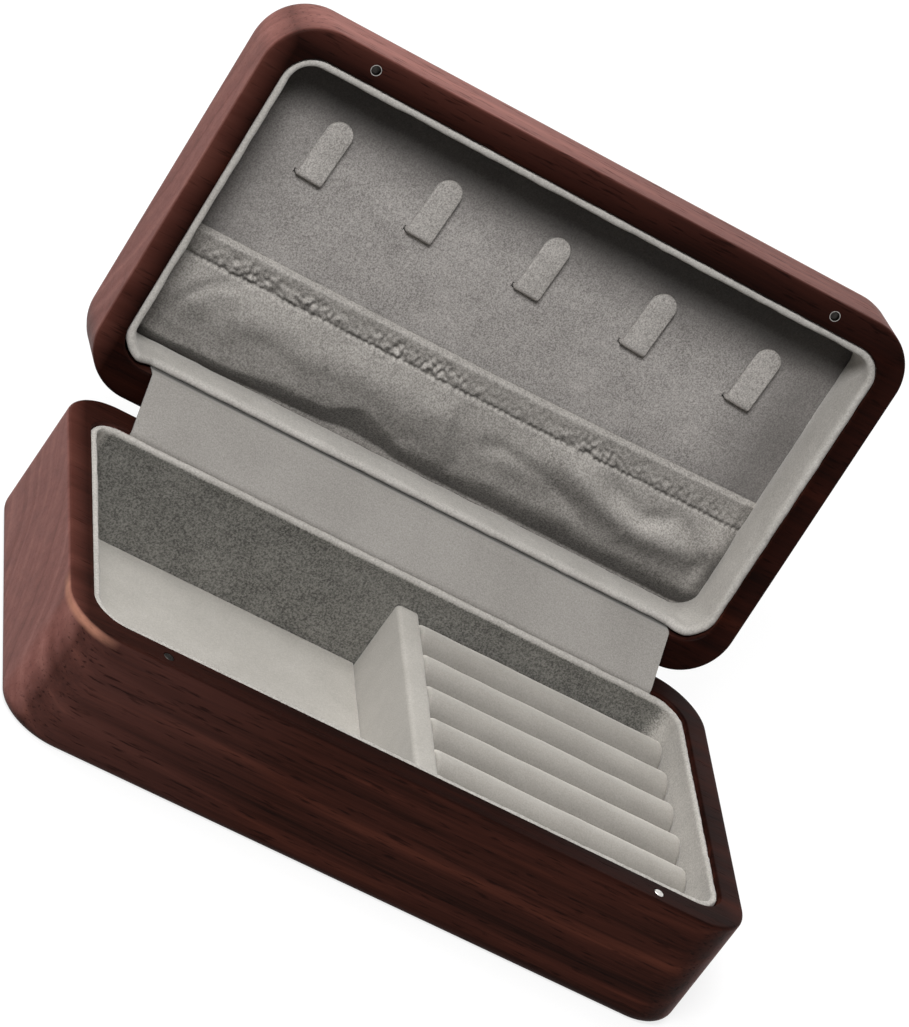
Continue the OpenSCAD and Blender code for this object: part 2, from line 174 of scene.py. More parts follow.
ambient = 0.08
world = bpy.data.worlds.new("studio")
world.use_nodes = True
world.node_tree.nodes.clear()
start = Socket(world.node_tree)
seen = seen_directly(start)
sky = start.node("ShaderNodeBackground", {}, {"Color": (1, 1, 1),
                                              "Strength": ambient + seen * (1 - ambient)})
start.node("ShaderNodeOutputWorld", {}, {"Surface": sky})
bpy.context.scene.world = world


lamp_distance = 1.6


def soft_lamp(name, level, direction, size, mirrored=True):
    """A square lamp that gives a white surface facing it the stated level."""
    lamp = bpy.data.lights.new(name, "AREA")
    lamp.energy = level * (math.pi * lamp_distance) ** 2
    lamp.size = size
    holder = add_object(name, lamp)
    side = Vector(direction).normalized()
    holder.matrix_world = (Matrix.Translation(side * lamp_distance)
                           @ side.to_track_quat("Z", "Y").to_matrix().to_4x4())
    holder.visible_glossy = mirrored


soft_lamp("front_lamp", 0.80, (-0.385, -0.58, 0.725), 0.50)
soft_lamp("top_lamp", 0.52, (-0.38, 0.24, 0.89), 0.9)
soft_lamp("back_lamp", 0.42, (0.42, 0.82, 0.38), 1.1, mirrored=False)

floor_half, floor_glow = 3.0, 0.80
floor_mesh = bpy.data.meshes.new("floor")
floor_mesh.from_pydata([(-floor_half, -floor_half, 0), (floor_half, -floor_half, 0),
                        (floor_half, floor_half, 0), (-floor_half, floor_half, 0)], [], [(0, 1, 2, 3)])
floor = add_object("floor", floor_mesh)
floor_material, start = new_material("pale_floor")
plain = start.node("ShaderNodeBsdfDiffuse", {}, {"Color": display(138, 138, 138)})
glow = start.node("ShaderNodeEmission", {}, {"Color": (1, 1, 1), "Strength": floor_glow})
lit = start.node("ShaderNodeAddShader", {}, {0: glow, 1: plain})
thrown = start.node("ShaderNodeBsdfDiffuse", {}, {"Color": display(70, 70, 70)})
face = start.node("ShaderNodeMixShader", {}, {0: seen_directly(start), 1: thrown, 2: lit})
start.node("ShaderNodeOutputMaterial", {}, {"Surface": face})
floor.data.materials.append(floor_material)


# Base. A block of dark walnut hollowed from above, with round upright corners
# and a softly rounded rim. The hinge leaves and the magnets are let into it.
def loft(name, rings, joined=False):
    """A closed skin over rings of points: the end rings are faced, or joined to each other."""
    count = len(rings[0])
    points = [p for ring in rings for p in ring]
    faces = [] if joined else [tuple(range(count)), tuple(range(len(points) - count, len(points)))]
    for r in range(len(rings) if joined else len(rings) - 1):
        low, high = r * count, (r + 1) % len(rings) * count
        for p in range(count):
            q = (p + 1) % count
            faces.append((low + p, low + q, high + q, high + p))
    mesh = bpy.data.meshes.new(name)
    mesh.from_pydata(points, [], faces)
    return finish_mesh(add_object(name, mesh))


def finish_mesh(made, sharp=35):
    """Merges doubled points, turns all faces outward and shades the round ones smooth."""
    work = bmesh.new()
    work.from_mesh(made.data)
    bmesh.ops.remove_doubles(work, verts=work.verts, dist=1e-7)
    bmesh.ops.dissolve_degenerate(work, edges=work.edges, dist=1e-7)
    bmesh.ops.recalc_face_normals(work, faces=work.faces)
    work.to_mesh(made.data)
    work.free()
    made.data.polygons.foreach_set("use_smooth", [True] * len(made.data.polygons))
    made.data.set_sharp_from_angle(angle=math.radians(sharp))
    return made


def round_outline(left, right, front, rear, radius, z, steps=24):
    """A ring of points along a rectangle with round corners, at height z."""
    ring = []
    corners = ((right - radius, front + radius, -90), (right - radius, rear - radius, 0),
               (left + radius, rear - radius, 90), (left + radius, front + radius, 180))
    for cx, cy, start_angle in corners:
        for step in range(steps + 1):
            turn = math.radians(start_angle + 90 * step / steps)
            ring.append(Vector((cx + radius * math.cos(turn), cy + radius * math.sin(turn), z)))
    return ring


def bake_modifiers(made):
    """Puts the result of an object's modifiers in its mesh."""
    bpy.context.view_layer.update()
    shaped = made.evaluated_get(bpy.context.evaluated_depsgraph_get())
    mesh = bpy.data.meshes.new_from_object(shaped)
    made.modifiers.clear()
    made.data = mesh
    return made


def cut(made, cutters):
    """Takes the cutters' shapes out of a piece."""
    for cutter in cutters:
        modifier = made.modifiers.new("cut", "BOOLEAN")
        modifier.operation, modifier.solver, modifier.object = "DIFFERENCE", "EXACT", cutter
    bake_modifiers(made)
    for cutter in cutters:
        bpy.data.objects.remove(cutter)
    return finish_mesh(made)


def block(name, low, high):
    """A square block between two opposite corners."""
    corners = ((low[0], low[1]), (high[0], low[1]), (high[0], high[1]), (low[0], high[1]))
    return loft(name, [[Vector((x, y, z)) for x, y in corners] for z in (low[2], high[2])])


def turned_bar(name, middle, profile, sides=32):
    """A round piece on an upright axis, from (radius, height) pairs."""
    return loft(name, [[Vector(middle) + Vector((r * math.cos(a), r * math.sin(a), z))
                        for a in (2 * math.pi * s / sides for s in range(sides))]
                       for r, z in profile])


case_low, case_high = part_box("base_case")
corner_r = 0.0155
base_edge_r, rim_edge_r, inner_edge_r = 0.0035, 0.001, 0.0006
wall_side, wall_front, wall_rear, base_floor = 0.007, 0.0085, 0.0095, 0.0032
cavity_r = 0.009
fillet_steps = 8
support = 0.0006


def case_rings(closed_z, rim_z, bottom_z, closed_edge):
    """Rings over a hollowed block: its closed face, its walls, its rim and the hollow."""
    up = 1 if rim_z > closed_z else -1

    def outer(inset, z):
        return round_outline(case_low.x + inset, case_high.x - inset, case_low.y + inset,
                             case_high.y - inset, corner_r - inset, z)

    def hollow(outset, z):
        return round_outline(case_low.x + wall_side - outset, case_high.x - wall_side + outset,
                             case_low.y + wall_front - outset, case_high.y - wall_rear + outset,
                             cavity_r + outset, z)

    quarter = [math.pi / 2 * k / fillet_steps for k in range(fillet_steps + 1)]
    rings = [outer(closed_edge + support, closed_z)]
    rings += [outer(closed_edge * (1 - math.sin(a)), closed_z + up * closed_edge * (1 - math.cos(a)))
              for a in quarter]
    rings += [outer(0, closed_z + up * (closed_edge + support)),
              outer(0, rim_z - up * (rim_edge_r + support))]
    rings += [outer(rim_edge_r * (1 - math.cos(a)), rim_z - up * rim_edge_r * (1 - math.sin(a)))
              for a in quarter]
    rings += [outer(rim_edge_r + support, rim_z), hollow(inner_edge_r + support, rim_z)]
    rings += [hollow(inner_edge_r * (1 - math.sin(a)), rim_z - up * inner_edge_r * (1 - math.cos(a)))
              for a in quarter]
    rings += [hollow(0, rim_z - up * (inner_edge_r + support)), hollow(0, bottom_z + up * support),
              hollow(0, bottom_z)]
    return rings


def mix(factor, low, high, way="MIX"):
    """Mixes two colours by a factor from 0 to 1."""
    start = factor if isinstance(factor, Socket) else low
    return start.node("ShaderNodeMix", {"data_type": "RGBA", "blend_type": way},
                      {0: factor, 6: low, 7: high}, out=2)


def ramp(value, *stops):
    """A colour that runs through the stops, each a place from 0 to 1 and its colour."""
    return value.node("ShaderNodeValToRGB", {"stops": stops}, {0: value})


def object_place(start):
    """The place of each point on its piece, in metres."""
    return start.node("ShaderNodeTexCoord", out="Object")


def axes(place):
    """The three numbers of a place, each as a socket."""
    parts = place.node("ShaderNodeSeparateXYZ", {}, {"Vector": place}).link.node
    return [Socket(place.tree, parts.outputs[k]) for k in range(3)]


def bumped(height, strength, distance):
    """A surface normal that follows a height."""
    return height.node("ShaderNodeBump", {}, {"Height": height, "Strength": strength, "Distance": distance})


def surface(start, look):
    """Ends a material with a plain shader of the stated look."""
    shader = start.node("ShaderNodeBsdfPrincipled", {}, look)
    start.node("ShaderNodeOutputMaterial", {}, {"Surface": shader})


def speckle(place, scale, detail=2.0, roughness=0.5):
    """Soft noise at a place, from 0 to 1, with the stated number of features in a metre."""
    return place.node("ShaderNodeTexNoise", {},
                      {"Vector": place, "Scale": scale, "Detail": detail, "Roughness": roughness})


def spread(value, low, high):
    """Takes low to 0 and high to 1, and holds what lies beyond them."""
    return value.node("ShaderNodeMapRange", {}, {"Value": value, "From Min": low, "From Max": high})


ring_sway, ring_bend, rings_per_metre = 0.022, 0.0030, 175
# Sizes of the painted reflection and light on the ends and the lid's front, of the painted shade on the rim,
# of the painted light towards the left and of the painted highlight on the base's rim.
edge_in, end_paled, front_paled = 0.0008, 0.0065, 0.008
rim_from, rim_to, plain_rim = 0.0014, 0.0002, (0.02, 0.06)
lid_fade, base_fade = (0.13, -0.10), (-0.030, -0.110)
# Where the painted highlight runs along the front left corner of the base's rim.
highlight_low, highlight_full, highlight_top = 0.0032, 0.0018, 0.0010
highlight_x, highlight_y = (-0.0855, -0.0925), (-0.033, -0.040)


def walnut(name, pith, rim_height, lid=False, swing=0.0, about=(0, 0, 0)):
    """Oiled dark walnut, ringed round its pith, with ends painted paler as painted reflection and light, and a
    rim darkened by painted shade.

    The outer front of the lid has painted reflection and light, paler to the left, the base is
    painted paler towards its left end, and the front left corner of the base's rim has a painted
    highlight in a light arc. Swing and about turn the pattern with the lid.
    """
    material, start = new_material(name)
    shift = Vector(about) - Matrix.Rotation(swing, 3, "X") @ Vector(about) - Vector(pith)
    log = start.node("ShaderNodeMapping", {}, {"Vector": object_place(start), "Rotation": (swing, 0, 0),
                                               "Location": shift})
    x, y, z = axes(log)
    sway = (speckle(log * (4.5, 16, 16), 1) - 0.5) * ring_sway
    bend = (speckle(log * (16, 70, 70), 1) - 0.5) * ring_bend
    ring = (y * y + z * z) ** 0.5 + sway + bend
    bands = start.node("ShaderNodeTexNoise", {"noise_dimensions": "1D"},
                       {"W": ring * rings_per_metre, "Scale": 1, "Detail": 3, "Roughness": 0.55})
    fibre = speckle(log * (26, 1500, 1500), 1, 2, 0.6)
    streak = speckle(log * (14, 300, 300), 1, 3, 0.6)
    cloud = speckle(log * (7, 30, 30), 1)
    pores = spread(speckle(log * (150, 1500, 1500), 1, 1), 0.60, 0.74)
    tone = (spread(bands, 0.22, 0.78) * 0.46 + spread(streak, 0.22, 0.78) * 0.38
            + spread(cloud, 0.3, 0.7) * 0.22)
    heart = ramp(tone, (0.22, display(20, 12, 10)), (0.46, display(39, 21, 17)),
                 (0.66, display(58, 31, 25)), (0.88, display(92, 51, 40)))
    pale = ramp(tone, (0.20, display(128, 84, 77)), (0.50, display(154, 104, 97)),
                (0.90, display(184, 130, 121)))
    up = -1 if lid else 1
    rim_at = (rim_height - pith[2]) * up
    # Painted shade: a band just under the rim's face, where the wood is darkened.
    rim = spread(z * up, rim_at - rim_from, rim_at - rim_to)
    # Painted reflection and light: the ends are paler, but not on the right end's rim.
    ends = spread(abs(x), case_high.x - end_paled, case_high.x - edge_in)
    ends = ends * (1 - rim * spread(x, *plain_rim) * 0.9)
    # Painted reflection and light on the lid's outer front, paler to the left; painted light on the base,
    # paler towards its left end.
    if lid:
        front_at = case_high.y + pith[1]
        front = spread(y * -1, front_at - front_paled, front_at - edge_in)
        rub_and_painted_light = larger(ends, front * (0.22 + spread(x, *lid_fade) * 0.56))
    else:
        rub_and_painted_light = larger(ends, spread(x, *base_fade) * 0.24)
    colour = mix(rub_and_painted_light, heart, pale)
    colour = mix(spread(fibre, 0.3, 0.75) * (0.16 + rub_and_painted_light * 0.14), colour, display(128, 74, 62))
    colour = mix(pores * (0.66 - ends * 0.5), colour, display(20, 11, 10))
    # Painted shade darkens the rim.
    colour = mix(rim * rim, colour, display(140, 124, 116), "MULTIPLY")
    if not lid:
        # Painted highlight: a light arc along the front left corner of the base's rim.
        arc_highlight = spread(z, rim_at - highlight_low, rim_at - highlight_full) * spread(z, rim_at - rim_to, rim_at - highlight_top)
        arc_highlight = arc_highlight * spread(x, *highlight_x) * spread(y, *(place - pith[1] for place in highlight_y))
        colour = mix(arc_highlight * (0.35 + streak * 0.9), colour, display(206, 146, 122))
    relief = fibre * 0.35 + streak * 0.3 - pores * 0.8
    surface(start, {"Base Color": colour, "Roughness": 0.40 + streak * 0.18 + pores * 0.15,
                    "Normal": bumped(relief, 0.5, 0.00008), "Specular IOR Level": 0.03})
    return material


base_pith = (0, 0.062, -0.078)
leaf_low, leaf_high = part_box("hinge_left_base_leaf")
leaf_t, leaf_gap = 0.0009, 0.0001
magnet_low, magnet_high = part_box("base_magnet_left")
magnet_r = (magnet_high.x - magnet_low.x) / 2
magnet_fit = 0.00005


def let_in(rim_z, up, depth):
    """The mortises of both leaves and the holes of both magnets, as cutters."""
    cutters = []
    over = 0.001
    for side in (-1, 1):
        x = side * (leaf_low.x + leaf_high.x) / 2
        half = (leaf_high.x - leaf_low.x) / 2 + leaf_gap
        ends = sorted((rim_z - up * (leaf_t + leaf_gap), rim_z + up * over))
        cutters.append(block("mortise", (x - half, leaf_low.y - leaf_gap, ends[0]),
                             (x + half, case_high.y + over, ends[1])))
        x = side * (magnet_low.x + magnet_high.x) / 2
        heights = sorted((rim_z - up * depth, rim_z + up * over))
        cutters.append(turned_bar("hole", (x, (magnet_low.y + magnet_high.y) / 2, 0),
                                  [(magnet_r + magnet_fit, h) for h in heights]))
    return cutters


base_case = loft("base_case_wood", case_rings(case_low.z, case_high.z, base_floor, base_edge_r))
cut(base_case, let_in(case_high.z, 1, magnet_high.z - magnet_low.z + magnet_fit))
base_case.data.materials.append(walnut("walnut_base", base_pith, case_high.z))
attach(base_case, "base")
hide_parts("base_case")

# Lid. A second walnut block, hollowed from below and well rounded above. It is
# shaped shut and then swung back about the hinges to where the strip holds it.
hinge = frame["joints"][0]
hinge_axis = Vector(hinge["pos_m"])
open_angle = math.radians(hinge["range_deg"][1])
swung_open = (Matrix.Translation(hinge_axis) @ Matrix.Rotation(-open_angle, 4, "X")
              @ Matrix.Translation(-hinge_axis))


def swing_open(made):
    """Turns a piece that was made in the shut lid to the open lid's place."""
    made.data.transform(swung_open)
    return made


rim_gap = 2 * (hinge_axis.z - case_high.z)
lid_rim, lid_h, lid_roof = case_high.z + rim_gap, 0.028, 0.0065
lid_top = lid_rim + lid_h
roof_z = lid_top - lid_roof
lid_edge_r = 0.009
magnet_sunk = 0.0006
lid_pith = (0, -0.046, 0.168)
lid_case = loft("lid_case_wood", case_rings(lid_top, lid_rim, roof_z, lid_edge_r))
cut(lid_case, let_in(lid_rim, -1, magnet_high.z - magnet_low.z + magnet_sunk + magnet_fit))
swing_open(lid_case)
lid_case.data.materials.append(walnut("walnut_lid", lid_pith, lid_rim, True, open_angle, hinge_axis))
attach(lid_case, "lid")
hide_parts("lid_case")


# Base lining. A band of foam-backed velvet glued round the inside of the
# hollow up to the rim, with its upper edge turned over into a soft roll. The roll
# and the side walls are painted pale, as painted light and sheen.
def velvet(name, colour, shade, nap=2300, mottle=0.22, contrast=0.5, relief=0.00012, sheen=0.5,
           pale=None, soft_edge=False, rows=None, painted_edge_shade=None):
    """Short-pile velvet: fine tufts, clumps, brushed patches and a soft sheen.

    Where the mesh's own "pale" value is 1 it takes the two pale colours, as painted light and
    sheen. Rows are the start and the pitch of bars across which painted shade runs to a painted
    highlight. The painted edge shade darkens the sides and the far edge of the lid's panel, in
    the two stretches of x and of y that are given.
    """
    material, start = new_material(name)
    place = object_place(start)
    tufts = speckle(place, nap, 2, 0.7)
    brushed = speckle(place * (1, 1.3, 1.3), 75, 4, 0.6)
    clumps = speckle(place * (1, 1, 0.7), nap * 0.55, 1)
    width = 0.5 * (1 - contrast) + 0.04
    grain = (spread(tufts, 0.5 - width, 0.5 + width) * 0.84
             + spread(clumps, 0.48 - width, 0.52 + width) * 0.16)
    tone = grain * (1 - mottle) + spread(brushed, 0.32, 0.68) * mottle
    pile = mix(tone, shade, colour)
    # Painted light and shade: where the mesh's own pale value is high, the pile takes the two lighter colours.
    if pale:
        own = start.node("ShaderNodeAttribute", {"attribute_name": "pale"}, out=2)
        share = own if soft_edge else spread(own + (tufts - 0.5) * 0.5, 0.25, 0.75)
        pile = mix(share, pile, mix(tone, *pale))
    # Painted shade and highlight across each row, from dark to a bright line.
    if rows:
        across = (axes(place)[1] - rows[0]) / rows[1]
        painted_shading = ramp(across.maths("FRACT", across, 0),
                   (0.14, display(190, 189, 188)), (0.40, display(222, 221, 220)),
                   (0.60, display(250, 250, 250)), (0.74, (1.35, 1.35, 1.35)), (0.84, (0.95, 0.95, 0.95)))
        pile = mix(1.0, pile, painted_shading, "MULTIPLY")
    # Painted shade along the sides and the far edge of the lid's panel.
    if painted_edge_shade:
        shift = hinge_axis - Matrix.Rotation(open_angle, 3, "X") @ hinge_axis
        shut = start.node("ShaderNodeMapping", {}, {"Vector": place, "Rotation": (open_angle, 0, 0),
                                                    "Location": shift})
        x, y, _ = axes(shut)
        near_edge = larger(spread(abs(x), *painted_edge_shade[0]) * 0.75, spread(y, *painted_edge_shade[1]))
        pile = mix(near_edge * 0.8, pile, display(96, 93, 91))
    surface(start, {"Base Color": pile, "Roughness": 0.85 + tufts * 0.12,
                    "Normal": bumped(tufts + brushed * 0.6, 0.6, relief), "Specular IOR Level": 0.05,
                    "Sheen Weight": sheen, "Sheen Roughness": 0.4, "Sheen Tint": (1, 0.975, 0.945)})
    return material


def uneven(made, scale, height):
    """Moves each point along its normal by smooth noise, as soft goods are never quite even."""
    moved = []
    for vertex in made.data.vertices:
        lift = noise.noise(vertex.co * scale) + 0.5 * noise.noise(vertex.co * scale * 2.3)
        moved.append(vertex.co + vertex.normal * height * lift)
    for vertex, place in zip(made.data.vertices, moved):
        vertex.co = place
    made.data.update()


lining_t, glue_gap = 0.0018, 0.0001
bead, edge_fuzz, edge_swell = 0.0004, 0.00016, 0.0024
lining_step, lining_stations = 0.0007, 14
cover_half, cover_ease, dip_from = 0.0816, 0.0050, 0.046
lining_low, lining_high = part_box("base_lining")
lining_r = cavity_r - glue_gap


def lining_band(name, bottom, top, dip=0.0, fullness=0.0):
    """The wall lining, swollen at its round edge, which dips where the cover strip passes."""
    outline = round_outline(lining_low.x, lining_high.x, lining_low.y, lining_high.y, lining_r, 0)
    path = []
    for here, there in zip(outline, outline[1:] + outline[:1]):
        pieces = max(1, round((there - here).length / lining_step))
        path += [here.lerp(there, k / pieces) for k in range(pieces)]
    rings = []
    up = 1 if top > bottom else -1
    half = lining_t / 2
    for k, here in enumerate(path):
        along = (path[(k + 1) % len(path)] - path[k - 1]).normalized()
        inward = Vector((-along.y, along.x, 0))
        beside = 1
        if here.y > 0:
            beside = (abs(here.x) - cover_half) / cover_ease + max(0, dip_from - here.y) / 0.02
        wall = abs(top - bottom) - half - dip * min(1, max(0, 1 - beside))
        fuzz = noise.noise(here * 900 + Vector((0, 0, top * 50))) * edge_fuzz
        full = half + bead / 2 * (1 + noise.noise(here * 130) * 0.5)
        heights = [wall * (1 - (1 - s / lining_stations) ** 1.8) for s in range(lining_stations + 1)]
        section = [(0, h) for h in heights]
        section += [(full - full * math.cos(a), wall + (half + fuzz) * math.sin(a))
                    for a in (math.pi * s / 8 for s in range(1, 8))]
        section += [(lining_t + (2 * full - lining_t) * math.exp(-((wall - h) / edge_swell) ** 2)
                     + fullness * math.sin(math.pi * h / wall) ** 0.8, h) for h in reversed(heights)]
        rings.append([here + inward * d + Vector((0, 0, bottom + up * h)) for d, h in section])
    return loft(name, rings, joined=True)


base_lining = lining_band("base_lining_velvet", lining_low.z, lining_high.z)
uneven(base_lining, 160, 0.00012)
# Painted light and sheen: the rolled top edge and the side walls take the pale colours, and the rear wall
# keeps the dark ones.
edge_roll, edge_fade = 0.0018, 0.001
right_gap, gap_depth = 0.0007, 0.006
pale_part = base_lining.data.attributes.new("pale", "FLOAT", "POINT")
for vertex, own in zip(base_lining.data.vertices, pale_part.data):
    edge = (vertex.co.z - lining_high.z + edge_roll) / edge_fade
    own.value = min(1, max(0, edge, abs(vertex.normal.x) * 1.15 - 0.1))
    if vertex.normal.x > 0.5 and vertex.co.z > lining_high.z - gap_depth:
        vertex.co.x -= right_gap * vertex.normal.x
wall_velvet = velvet("velvet_walls", display(144, 142, 136), display(66, 65, 62), nap=2000, contrast=0.8,
                     sheen=0.25, pale=(display(156, 152, 146), display(198, 194, 188)))
base_lining.data.materials.append(wall_velvet)
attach(base_lining, "base")
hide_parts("base_lining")

# Floor pad. A thin foam pad wrapped in light velvet, pressed into the open
# compartment between the left end and the divider.
light_velvet = velvet("velvet_light", display(199, 195, 188), display(158, 154, 147), sheen=0.4)
pad_low, pad_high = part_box("floor_pad")
pad_edge = 0.0007
room_r = lining_r - lining_t
pad_middle = (pad_low + pad_high) / 2
pad_rings = []
for inset, drop in ((0, pad_high.z - pad_low.z), (0, pad_edge), (pad_edge * 0.13, pad_edge * 0.5),
                    (pad_edge * 0.5, pad_edge * 0.13), (pad_edge, 0), (pad_edge * 4, 0)):
    ring = round_outline(pad_low.x + inset, pad_high.x - inset, pad_low.y + inset, pad_high.y - inset,
                         room_r - glue_gap - inset, pad_high.z - drop)
    for point in ring:
        if point.x > pad_middle.x:
            point.x = pad_high.x - inset
            point.y = pad_high.y - inset if point.y > pad_middle.y else pad_low.y + inset
    pad_rings.append(ring)
floor_pad = loft("floor_pad_velvet", pad_rings)
floor_pad.data.materials.append(light_velvet)
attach(floor_pad, "base")
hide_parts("floor_pad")


# Divider. A board wrapped in light velvet that stands across the base from
# lining to lining, with softly rounded upper edges.
def bar_rings(section, start_x, end_x, end_r, pitch, end_steps=5):
    """Rings of a bar along X: the section, drawn in at both ends to round them."""
    length = end_x - start_x
    places = [end_r * (1 - math.cos(math.pi / 2 * k / end_steps)) for k in range(end_steps)]
    middle = max(2, round((length - 2 * end_r) / pitch))
    places += [end_r + (length - 2 * end_r) * k / middle for k in range(middle + 1)]
    places += [length - p for p in reversed(places[:end_steps])]
    rings = []
    for place in places:
        edge = min(place, length - place)
        draw = 0 if edge >= end_r else end_r - math.sqrt(max(0, end_r ** 2 - (end_r - edge) ** 2))
        rings.append([Vector((start_x + place, y, z)) for y, z in section(draw)])
    return rings


divider_low, divider_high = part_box("divider")
divider_edge_r, divider_end_r, divider_step = 0.0014, 0.0008, 0.002


def divider_section(draw):
    """Half round shoulders over upright sides, across the divider."""
    half = (divider_high.x - divider_low.x) / 2 - draw * 0.4
    top = divider_high.z - divider_low.z - draw
    r = divider_edge_r
    points = [(-half, top * k / 8) for k in range(8)]
    points += [(-half + r - r * math.cos(a), top - r + r * math.sin(a))
               for a in (math.pi / 2 * k / 6 for k in range(7))]
    points += [(half - r + r * math.sin(a), top - r + r * math.cos(a))
               for a in (math.pi / 2 * k / 6 for k in range(7))]
    points += [(half, top * k / 8) for k in range(7, -1, -1)]
    return points


divider = loft("divider_velvet", bar_rings(divider_section, divider_low.y, divider_high.y, divider_end_r,
                                           divider_step))
divider.data.transform(Matrix.Translation(((divider_low.x + divider_high.x) / 2, 0, divider_low.z))
                       @ Matrix.Rotation(math.pi / 2, 4, "Z"))
uneven(divider, 90, 0.00012)
divider.data.materials.append(light_velvet)
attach(divider, "base")
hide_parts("divider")

# Roll card. A sheet of grey card under the ring rolls, which are glued to it.
# It hardly shows between them, so the carried-over card keeps its shape.
card_material, start = new_material("grey_card")
card_fibres = speckle(object_place(start) * (1, 2.5, 1), 900, 3)
surface(start, {"Base Color": mix(card_fibres, display(96, 94, 90), display(126, 123, 118)),
                "Roughness": 0.8 + card_fibres * 0.1, "Specular IOR Level": 0.2})


def repaint(node, material):
    """Gives a carried-over piece its finish."""
    made = frame["nodes"][node]
    made.data.materials.clear()
    made.data.materials.append(material)


repaint("roll_card", card_material)


# Ring rolls. Six foam bars wrapped in light velvet lie side by side, front to
# back. Each is half round on top, and rings are pushed down between them.
def grow(made, tree, values):
    """Runs a Geometry Nodes tree with its named inputs on one piece and keeps a plain mesh."""
    modifier = made.modifiers.new(made.name, "NODES")
    modifier.node_group = tree
    for item in tree.interface.items_tree:
        if item.in_out == "INPUT" and item.name in values:
            modifier[item.identifier] = values[item.name]
    return bake_modifiers(made)


def new_tree(name, sizes):
    """A Geometry Nodes tree with a mesh going in and out, and its sizes as named inputs."""
    tree = bpy.data.node_groups.new(name, "GeometryNodeTree")
    tree.interface.new_socket("Geometry", in_out="INPUT", socket_type="NodeSocketGeometry")
    for size, kind in sizes.items():
        tree.interface.new_socket(size, in_out="INPUT", socket_type=kind)
    tree.interface.new_socket("Geometry", in_out="OUTPUT", socket_type="NodeSocketGeometry")
    inlet = tree.nodes.new("NodeGroupInput")
    start = Socket(tree, inlet.outputs["Geometry"])
    return tree, start, {size: Socket(tree, inlet.outputs[size]) for size in sizes}


roll_boxes = [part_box(f"ring_roll_{n}") for n in range(1, 7)]
roll_low, roll_high = roll_boxes[0]
roll_pitch = roll_boxes[0][1].y - roll_boxes[1][1].y
roll_end_r, roll_step = 0.0011, 0.0018
roll_w = roll_boxes[1][1].y - roll_boxes[1][0].y


def roll_section(draw):
    """Upright sides under a half-round top, across one roll."""
    half = roll_w / 2 - draw * 0.25
    top = roll_high.z - roll_low.z - draw
    shoulder = top - half
    points = [(-half, shoulder * k / 6) for k in range(6)]
    points += [(-half * math.cos(a), shoulder + half * math.sin(a))
               for a in (math.pi * k / 22 for k in range(23))]
    points += [(half, shoulder * k / 6) for k in range(5, -1, -1)]
    return points


ring_rolls = loft("ring_rolls_velvet", bar_rings(roll_section, roll_low.x, roll_high.x, roll_end_r,
                                                 roll_step))
ring_rolls.data.transform(Matrix.Translation((0, roll_high.y - roll_w / 2, roll_low.z)))
roll_tree, start, size = new_tree("row_of_rolls", {
    "Rolls": "NodeSocketInt", "Pitch": "NodeSocketFloat", "Unevenness": "NodeSocketFloat",
    "Seed": "NodeSocketFloat", "Velvet": "NodeSocketMaterial"})
step = start.node("ShaderNodeCombineXYZ", {}, {"Y": size["Pitch"] * -1})
row = start.node("GeometryNodeMeshLine", {}, {"Count": size["Rolls"], "Offset": step})
rolls = start.node("GeometryNodeInstanceOnPoints", {}, {"Points": row, "Instance": start})
rolls = start.node("GeometryNodeRealizeInstances", {}, {"Geometry": rolls})
puff = start.node("ShaderNodeTexNoise", {"noise_dimensions": "4D"},
                  {"W": size["Seed"], "Scale": 55, "Detail": 2})
push = start.node("GeometryNodeInputNormal") * ((puff - 0.5) * size["Unevenness"])
rolls = start.node("GeometryNodeSetPosition", {}, {"Geometry": rolls, "Offset": push})
rolls = start.node("GeometryNodeSetMaterial", {}, {"Geometry": rolls, "Material": size["Velvet"]})
start.node("NodeGroupOutput", {}, {"Geometry": rolls})
# Painted shade and a painted highlight run across each roll.
roll_velvet = velvet("velvet_rolls", display(206, 202, 195), display(166, 162, 155), sheen=0.4,
                     rows=(roll_high.y, roll_pitch))
grow(ring_rolls, roll_tree, {"Rolls": len(roll_boxes), "Pitch": roll_pitch, "Unevenness": 0.0007,
                             "Seed": 4.0, "Velvet": roll_velvet})
room_low = Vector((lining_low.x + lining_t, lining_low.y + lining_t, 0))
room_high = Vector((lining_high.x - lining_t, lining_high.y - lining_t, 0))
corner_x = room_high.x - room_r
rear_corner = Vector((corner_x, room_high.y - room_r))
front_corner = Vector((corner_x, room_low.y + room_r))
for vertex in ring_rolls.data.vertices:
    spot = vertex.co
    spot.x = min(max(spot.x, roll_low.x), roll_high.x)
    spot.z = min(max(spot.z, roll_low.z), roll_high.z)
    spot.y = min(max(spot.y, room_low.y + glue_gap), room_high.y - glue_gap)
    middle = rear_corner if spot.y > 0 else front_corner
    away = spot.xy - middle
    if away.x > 0 and away.y * spot.y > 0 and away.length > room_r - glue_gap:
        spot.xy = middle + away.normalized() * (room_r - glue_gap)
ring_rolls.data.update()
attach(ring_rolls, "base")
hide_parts(*[f"ring_roll_{n}" for n in range(1, 7)])


# Magnets. Nickel-plated pins pressed into holes in both front rims: flush in
# the base, and sunk a little in the lid, where each sits in a thin cup. Darker
# copies of the plating paint shade on the left magnet in the base and in the lid.
def metal(name, colour, tarnish, roughness):
    """Plated metal with a slight haze and fine rub lines."""
    material, start = new_material(name)
    place = object_place(start)
    rub_and_painted_light = speckle(place * (1, 12, 12), 500)
    surface(start, {"Base Color": mix(spread(speckle(place, 900, 3), 0.45, 0.8), colour, tarnish),
                    "Metallic": 1.0, "Roughness": roughness + rub_and_painted_light * 0.15,
                    "Normal": bumped(rub_and_painted_light, 0.3, 0.00001)})
    return material


nickel = metal("nickel_plate", display(222, 220, 216), display(168, 164, 158), 0.22)
